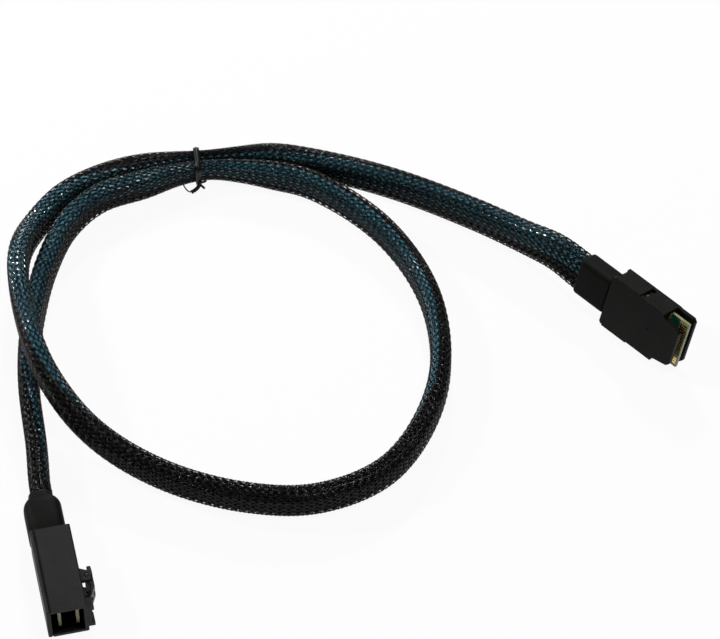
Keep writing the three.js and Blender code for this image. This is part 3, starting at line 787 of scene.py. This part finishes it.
def add_hd_boot(material):
    """A moulded boot with rounded shoulders, and a collar around the sleeve's end."""
    stations = boot_stations()
    points = []
    for y, half_x, half_z in stations:
        section_x, section_z = superellipse(half_x, half_z)
        points += [in_metres((x, y, z)) for x, z in zip(section_x, section_z)]
    faces = [list(quad) for quad in tube_quads(len(stations), HD_BOOT_SIDES)]
    faces += end_faces(len(stations), HD_BOOT_SIDES)
    piece = add_mesh("hd_boot_moulded", points, faces, material)
    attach(piece, BODY)
    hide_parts("hd_boot")


def add_ridges(material):
    ridges = [((LEVER_TOP - RIDGE_HEIGHT, LEVER_TOP + RIDGE_HEIGHT - RIDGE_SLOPE * y),
               (y - RIDGE_WIDTH / 2, y + RIDGE_WIDTH / 2),
               (HD_MIDDLE - RIDGE_HALF_LENGTH, HD_MIDDLE + RIDGE_HALF_LENGTH)) for y in RIDGES_AT]
    add_boxes("hd_latch_ridges", ridges, material, "hd_latch")


# Materials

def new_material(name, look):
    material = bpy.data.materials.new(name)
    material.use_nodes = True
    shader = material.node_tree.nodes["Principled BSDF"]
    shader.inputs["Base Color"].default_value = (*look["base"], 1)
    shader.inputs["Roughness"].default_value = look["roughness"]
    shader.inputs["Metallic"].default_value = look["metallic"]
    shader.inputs["Coat Weight"].default_value = look["coat"]
    shader.inputs["Specular IOR Level"].default_value = look["gloss"]
    return material, material.node_tree, shader


def object_noise(tree, scale, detail, stretch=None):
    coordinates = tree.nodes.new("ShaderNodeTexCoord")
    noise = tree.nodes.new("ShaderNodeTexNoise")
    noise.inputs["Scale"].default_value = scale
    noise.inputs["Detail"].default_value = detail
    if stretch is None:
        tree.links.new(coordinates.outputs["Object"], noise.inputs["Vector"])
        return noise
    mapping = tree.nodes.new("ShaderNodeMapping")
    mapping.inputs["Scale"].default_value = stretch
    tree.links.new(coordinates.outputs["Object"], mapping.inputs["Vector"])
    tree.links.new(mapping.outputs["Vector"], noise.inputs["Vector"])
    return noise


def tint(tree, shader, source, look):
    """Takes the surface's colour from dark to light with a pattern."""
    node = tree.nodes.new("ShaderNodeValToRGB")
    colours = (look["dark"], look["light"])
    for element, place, colour in zip(node.color_ramp.elements, look["stops"], colours):
        element.position = place
        element.color = (*colour, 1)
    tree.links.new(source.outputs["Fac"], node.inputs["Fac"])
    tree.links.new(node.outputs["Color"], shader.inputs["Base Color"])


def vary_roughness(tree, shader, source, low, high):
    node = tree.nodes.new("ShaderNodeMapRange")
    node.inputs["To Min"].default_value = low
    node.inputs["To Max"].default_value = high
    tree.links.new(source.outputs["Fac"], node.inputs["Value"])
    tree.links.new(node.outputs["Result"], shader.inputs["Roughness"])


def bump(tree, shader, source, strength, distance):
    node = tree.nodes.new("ShaderNodeBump")
    node.inputs["Strength"].default_value = strength
    node.inputs["Distance"].default_value = distance
    tree.links.new(source.outputs["Fac"], node.inputs["Height"])
    tree.links.new(node.outputs["Normal"], shader.inputs["Normal"])


def surface(name, look=None):
    """A material with the named look, or with the one that is given."""
    look = {**PLAIN_LOOK, **(look or LOOKS[name])}
    material, tree, shader = new_material(name, look)
    slow = object_noise(tree, look["tone"], look["detail"], look["stretch"])
    tint(tree, shader, slow, look)
    fine = object_noise(tree, look["grain"], GRAIN_DETAIL) if look["grain"] else slow
    vary_roughness(tree, shader, fine, *look["rough"])
    if look["relief"]:
        bump(tree, shader, fine, *look["relief"])
    return material


def moulded(name):
    """Moulded plastic: slow colour variation, and a fine grain in its roughness and relief."""
    dark, light, roughness, grain, depth, gloss = PLASTICS[name]
    return surface(name, {
        "base": light, "dark": dark, "light": light, "roughness": roughness,
        "rough": (roughness - PLASTIC_ROUGH_SPREAD, roughness + PLASTIC_ROUGH_SPREAD),
        "gloss": gloss, "tone": PLASTIC_TONE, "grain": grain, "relief": (PLASTIC_RELIEF, depth),
    })


# Stage

def floor_material():
    """White: a share of it is lit, so that it keeps the object's shadow, and the rest glows for
    the camera and in reflections."""
    material = bpy.data.materials.new("floor_white")
    material.use_nodes = True
    tree = material.node_tree
    shader = tree.nodes["Principled BSDF"]
    shader.inputs["Base Color"].default_value = (*FLOOR_COLOUR, 1)
    shader.inputs["Roughness"].default_value = FLOOR_ROUGHNESS
    shader.inputs["Specular IOR Level"].default_value = 0.0
    white = tree.nodes.new("ShaderNodeEmission")
    white.inputs["Color"].default_value = (1, 1, 1, 1)
    white.inputs["Strength"].default_value = 1.0
    rays = tree.nodes.new("ShaderNodeLightPath")
    seen = tree.nodes.new("ShaderNodeMath")
    seen.operation = "MAXIMUM"
    seen_too = tree.nodes.new("ShaderNodeMath")
    seen_too.operation = "MAXIMUM"
    share = tree.nodes.new("ShaderNodeMath")
    share.operation = "MULTIPLY"
    share.inputs[1].default_value = FLOOR_GLOW
    mix = tree.nodes.new("ShaderNodeMixShader")
    tree.links.new(rays.outputs["Is Camera Ray"], seen.inputs[0])
    tree.links.new(rays.outputs["Is Glossy Ray"], seen.inputs[1])
    tree.links.new(seen.outputs["Value"], seen_too.inputs[0])
    tree.links.new(rays.outputs["Is Transmission Ray"], seen_too.inputs[1])
    tree.links.new(seen_too.outputs["Value"], share.inputs[0])
    tree.links.new(share.outputs["Value"], mix.inputs["Fac"])
    tree.links.new(shader.outputs["BSDF"], mix.inputs[1])
    tree.links.new(white.outputs["Emission"], mix.inputs[2])
    tree.links.new(mix.outputs["Shader"], tree.nodes["Material Output"].inputs["Surface"])
    return material


def add_floor():
    half = FLOOR_SIZE / 2
    mesh = bpy.data.meshes.new("floor")
    mesh.from_pydata([(-half, -half, 0), (half, -half, 0), (half, half, 0), (-half, half, 0)],
                     [], [(0, 1, 2, 3)])
    mesh.materials.append(floor_material())
    floor = bpy.data.objects.new("floor", mesh)
    floor.location = (0, 0, FLOOR_HEIGHT)
    bpy.context.scene.collection.objects.link(floor)


def add_area(name, at, side, power):
    data = bpy.data.lights.new(name, "AREA")
    data.shape = "RECTANGLE"
    data.size = side
    data.size_y = side
    data.energy = power
    light = bpy.data.objects.new(name, data)
    light.location = at
    light.rotation_euler = (Vector(LIGHT_TARGET) - Vector(at)).to_track_quat("-Z", "Y").to_euler()
    bpy.context.scene.collection.objects.link(light)


def add_lights():
    for name, at, side, power in LIGHTS:
        add_area(name, at, side, power)
    world = bpy.data.worlds.new("studio")
    world.use_nodes = True
    world.node_tree.nodes["Background"].inputs["Color"].default_value = (1, 1, 1, 1)
    world.node_tree.nodes["Background"].inputs["Strength"].default_value = WORLD_STRENGTH
    bpy.context.scene.world = world
    bpy.context.scene.view_settings.view_transform = "Standard"


# Frame pieces: softened edges and finished materials

def soften(node, width):
    """Rounds a node's sharp edges with modifiers, and shades it smooth."""
    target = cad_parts[node]
    weld = target.modifiers.new("weld", "WELD")
    weld.merge_threshold = WELD_DISTANCE * MM
    flat = target.modifiers.new("flat", "DECIMATE")
    flat.decimate_type = "DISSOLVE"
    flat.angle_limit = FLAT_ANGLE
    edge = target.modifiers.new("edge", "BEVEL")
    edge.width = width * MM
    edge.segments = EDGE_SEGMENTS
    edge.limit_method = "ANGLE"
    edge.angle_limit = SHARP_ANGLE
    edge.harden_normals = False
    target.data.polygons.foreach_set("use_smooth", [True] * len(target.data.polygons))
    shade = target.modifiers.new("shade", "WEIGHTED_NORMAL")
    shade.keep_sharp = True


def finish_node(node, material, width=None):
    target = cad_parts[node]
    target.data.materials.clear()
    target.data.materials.append(material)
    if width:
        soften(node, width)


def finish_frame():
    housing = moulded("housing_plastic")
    latch = moulded("latch_plastic")
    shell = moulded("shell_plastic")
    boot = moulded("boot_plastic")
    block = moulded("block_resin")
    card = surface("card_laminate")
    finish_node("hd_base_shell", housing, HOUSING_EDGE)
    finish_node("hd_cover_plate", housing, HOUSING_EDGE)
    finish_node("hd_latch", latch, LATCH_EDGE)
    add_hd_boot(boot)
    finish_node("hd_wire_block", block)
    finish_node("hd_card_inner", card, CARD_EDGE)
    finish_node("hd_card_outer", card, CARD_EDGE)
    finish_node("mini_bottom_shell", shell, SHELL_EDGE)
    finish_node("mini_top_shell", shell, SHELL_EDGE)
    finish_node("mini_boot", boot, MINI_BOOT_EDGE)
    finish_node("mini_wire_block", block)
    finish_node("mini_card", card, CARD_EDGE)
    finish_node("mini_latch", surface("latch_steel"), STEEL_EDGE)
    add_ridges(latch)


def add_cable(route):
    braid = add_braid(route, surface("braid_filament"))
    ribbons = add_ribbons(route, surface("ribbon_blue"), surface("ribbon_dark"))
    wires = add_side_wires(route, moulded("side_wire_insulation"))
    tie = add_tie(moulded("tie_plastic"))
    path = route.line[::CORD_PATH_STEP] * MM
    tuple(path[0])
    [tuple(p) for p in path]
    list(braid[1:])


add_camera()
cable_route = Route()
add_cable(cable_route)
finish_frame()
gold = surface("contact_gold")
mask = surface("solder_mask")
add_plate_hole(cable_route, moulded("hole_shade"))
add_hd_pads(gold, mask)
add_mini_pads(cable_route, gold, mask)
add_floor()
add_lights()
